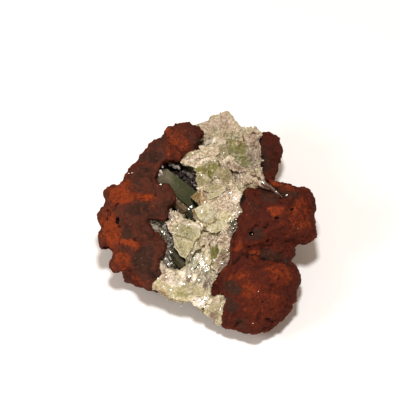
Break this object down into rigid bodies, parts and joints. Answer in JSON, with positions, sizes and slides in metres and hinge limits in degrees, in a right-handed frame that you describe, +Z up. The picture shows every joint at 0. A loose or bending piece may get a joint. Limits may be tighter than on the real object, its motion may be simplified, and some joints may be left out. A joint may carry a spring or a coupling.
{
  "type": "adamite specimen",
  "caption": "Lump of rusty iron-oxide gossan broken open along a vein of pale adamite crystals, with a dark crystal pocket, resting on a flat cut under it.",
  "frame": {"origin": "middle of the bounding box's underside, on the surface that the specimen rests on", "axes": "+Z up, square to the surface; -Y towards the viewer, the way that the broken face leans; +X to the viewer's right"},
  "size_m": [0.0502, 0.0538, 0.0293],
  "materials": {
    "gossan": "matte, earthy and rust-stained",
    "adamite": "vitreous crystal with powdery broken faces",
    "green_adamite": "clear dark green crystal",
    "dark_druse": "tiny dark sparkling crystals"
  },
  "bodies": {
    "root": {"gossan_matrix": "gossan", "adamite_vein": "adamite", "pocket_prism": "green_adamite", "pocket_crust": "dark_druse", "seam_crust": "dark_druse"}
  },
  "joints": []
}
